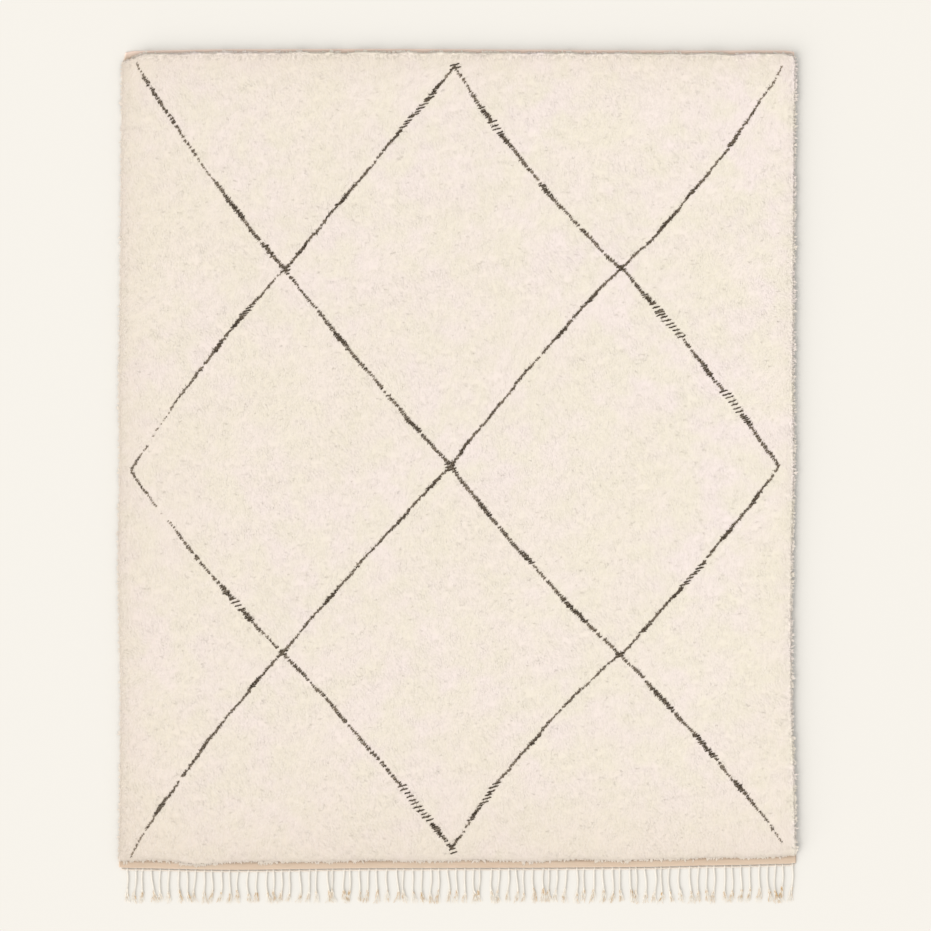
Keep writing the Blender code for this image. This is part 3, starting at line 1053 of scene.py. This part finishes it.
fringe_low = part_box("fringe")[0]
strand_draw = random.Random(STRAND_SEED)
first = (HEADING_LEFT_INSET + STRAND_WIDTH) / RUG_WIDTH
last = 1 - (HEADING_RIGHT_INSET + STRAND_WIDTH) / RUG_WIDTH
strand_lines = []
for number in range(STRAND_COUNT):
    pitch = (last - first) / (STRAND_COUNT - 1)
    share = first + pitch * (number + strand_draw.uniform(-STRAND_WANDER, STRAND_WANDER))
    at_x, at_y = on_rug(min(max(share, first), last), 0.0)
    drift_x = strand_draw.uniform(-STRAND_LEAN, STRAND_LEAN)
    bow_x = strand_draw.uniform(-STRAND_SWAY, STRAND_SWAY)
    reach = (at_y - PIECE_GAP - HEADING_DEPTH - fringe_low.y) * strand_draw.uniform(SHORTEST_STRAND, 1.0)
    strand_draw.random()  # the frame draws one more number here, for each strand's tip
    strand_lines.append((float(at_x), float(at_y), drift_x, bow_x, reach + HEADING_DEPTH))
print("strands from", round(strand_lines[0][0], 3), "to", round(strand_lines[-1][0], 3), "m")


def strand_at(line, share):
    """Places along a strand's line, at these shares of its length."""
    at_x, at_y, drift_x, bow_x, reach = line
    curl = STRAND_CURL * share * np.sin(ROUND * share * 0.9 + at_x * 210)
    x = at_x + drift_x * share ** 2 + bow_x * np.sin(math.pi * share) + curl
    return x, at_y - reach * share


# %% Ply the strands
PLY_RADIUS = 0.0015
PLY_TURN = 0.015  # length of one full twist
PLY_STEPS = 44
OPEN_FROM = 0.68  # of a strand's length, where its plies begin to open
PLY_SIDES = 5
fringe_draw = np.random.default_rng(71)

ply_paths, ply_radii, ply_along = [], [], []
for line in strand_lines:
    share = np.linspace(0.0, OPEN_FROM + fringe_draw.uniform(-0.06, 0.06), PLY_STEPS)
    x, y = strand_at(line, share)
    start = fringe_draw.uniform(0, ROUND)
    twist = start + (share * line[4]) / PLY_TURN * ROUND
    slack = PLY_RADIUS * (0.92 + 0.5 * np.clip(share / OPEN_FROM - 0.75, 0, 1))
    for half in (0, math.pi):
        z = PLY_RADIUS * 1.75 + np.sin(twist + half) * slack * 0.9
        ply_paths.append(np.stack([x + np.cos(twist + half) * slack, y, z], axis=1))
        ply_radii.append(PLY_RADIUS * np.clip(1.25 - 0.45 * share, 0.8, 1.1))
        ply_along.append(share)
strand_mesh = yarns_mesh("fringe_strands", np.array(ply_paths), np.array(ply_radii), PLY_SIDES, {})

# %% Open the tips
TIP_YARNS = 9
TIP_STEPS = 9
TIP_RADIUS = 0.0009
TIP_SIDES = 3

tip_paths, tip_radii, tip_gold = [], [], []
for number, line in enumerate(strand_lines):
    open_share = ply_along[2 * number][-1]
    for yarn in range(TIP_YARNS):
        spread = (yarn - (TIP_YARNS - 1) / 2) / (TIP_YARNS / 2)
        share = np.linspace(open_share - 0.05, fringe_draw.uniform(0.93, 1.03), TIP_STEPS)
        x, y = strand_at(line, share)
        grown = np.linspace(0, 1, TIP_STEPS)
        wave_height = fringe_draw.uniform(0.0006, 0.0016)
        curl = wave_height * np.sin(grown * fringe_draw.uniform(6, 11) + fringe_draw.uniform(0, ROUND))
        fan = spread * (0.0016 + fringe_draw.uniform(0.005, 0.0125) * grown ** 1.1)
        z = 0.0012 + 0.0026 * fringe_draw.random() * (1 - grown) + 0.0009 * np.abs(np.sin(grown * 7 + yarn))
        tip_paths.append(np.stack([x + fan + curl, y, z], axis=1))
        tip_radii.append(TIP_RADIUS * (1.05 - 0.6 * grown))
        tip_gold.append(np.full(TIP_STEPS, fringe_draw.random()))
gold = {"gold": np.array(tip_gold)}
tips_mesh = yarns_mesh("fringe_tips", np.array(tip_paths), np.array(tip_radii), TIP_SIDES, gold)

# %% Twine the row that locks the weave
CORD_RADIUS = 0.0014
CORD_TURN = 0.0085
CORD_STEPS = 1500
CORD_SIDES = 4
CORD_OUT = 0.0046  # its middle lies this far out from the weave's edge
CORD_HEIGHT = 0.0028
CORD_WIND = (0.0013, 0.0012)  # how far its two yarns swing, along the rug and up
cord_share = np.linspace((HEADING_LEFT_INSET - 0.010) / RUG_WIDTH, 1 - 0.004 / RUG_WIDTH, CORD_STEPS)
cord_x, cord_y = on_rug(cord_share, 0.0)
cord_paths = []
for half in (0, math.pi):
    twist = cord_share * RUG_WIDTH / CORD_TURN * ROUND + half
    along_rug = cord_y - CORD_OUT + CORD_WIND[0] * np.cos(twist)
    cord_paths.append(np.stack([cord_x, along_rug, CORD_HEIGHT + CORD_WIND[1] * np.sin(twist)], axis=1))
cord_radii = np.full((2, CORD_STEPS), CORD_RADIUS)
cord_mesh = yarns_mesh("twined_row", np.array(cord_paths), cord_radii, CORD_SIDES, {})

# %% The fringe's finishes
def spun_yarn(name, sheen, patch, one, other, grain, depth):
    """A yarn's finish in two near colours that change from patch to patch, with a fine grain."""
    yarn = Finish(name, 0.9, sheen)
    colour = yarn.dyed((yarn.clouds(patch) * 2.0 - 0.5).held(), one, other)
    return yarn.wear(colour, yarn.bumped(yarn.clouds(grain), depth, 0.5))


cream = spun_yarn("warp_strand", 0.2, 0.03, (0.745, 0.70, 0.63), (0.80, 0.76, 0.695), 0.0012, 0.0004)
fringe_strands = piece("fringe_strands", strand_mesh, cream)
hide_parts("fringe")

open_yarn = Finish("warp_tip", 0.9, 0.2)
patch = open_yarn.clouds(0.012)
gold_share = (open_yarn.kept("gold") * 3.0 - 1.1).held() * (patch * 5.0 - 2.0).held()
golden = open_yarn.dyed(gold_share, (0.84, 0.79, 0.71), (0.56, 0.36, 0.15))
open_yarn.wear(golden, open_yarn.bumped(open_yarn.clouds(0.0010), 0.0003, 0.5))
fringe_tips = piece("fringe_tips", tips_mesh, open_yarn.material)

cord_tan = spun_yarn("twined_cord", 0.15, 0.05, (0.70, 0.62, 0.54), (0.80, 0.72, 0.64), 0.0010, 0.0003)
twined_row = piece("twined_row", cord_mesh, cord_tan)
